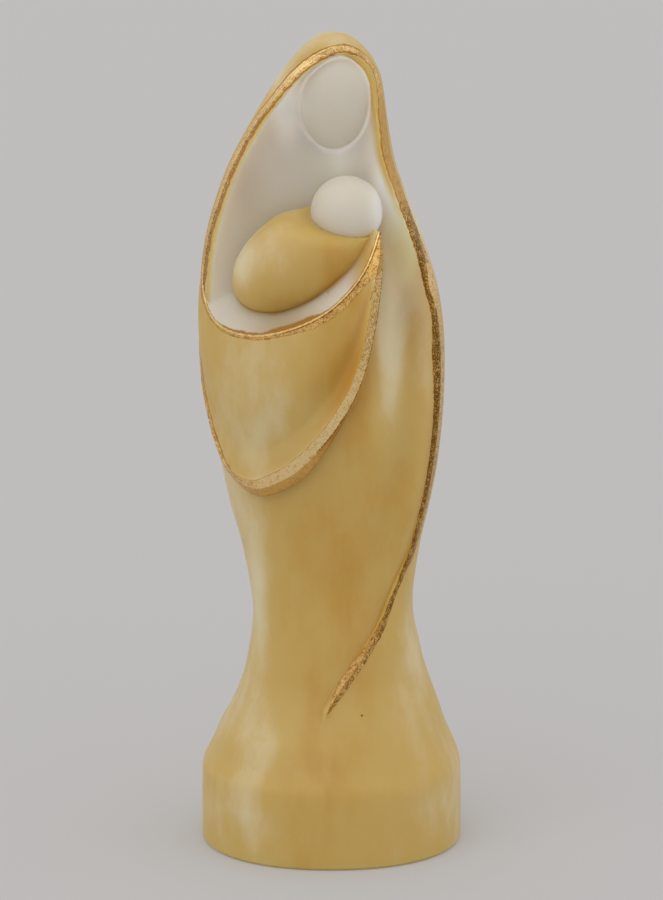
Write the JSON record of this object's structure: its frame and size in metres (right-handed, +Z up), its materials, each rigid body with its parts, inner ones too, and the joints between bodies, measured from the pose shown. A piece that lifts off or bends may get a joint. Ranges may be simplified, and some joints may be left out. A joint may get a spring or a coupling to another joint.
{
  "type": "virgin and child statue",
  "caption": "Small carved alabaster figure of the Virgin and Child on its own round foot, with the hooded mantle's edges painted gold.",
  "frame": {"origin": "middle of the round foot's flat underside, on the surface it stands on", "axes": "+Z up along the figure, -Y out of its front towards the viewer, +X to the viewer's right"},
  "size_m": [0.0646, 0.058, 0.2009],
  "materials": {
    "alabaster": "satin"
  },
  "bodies": {
    "root": {"virgin_and_child": "alabaster"}
  },
  "joints": []
}
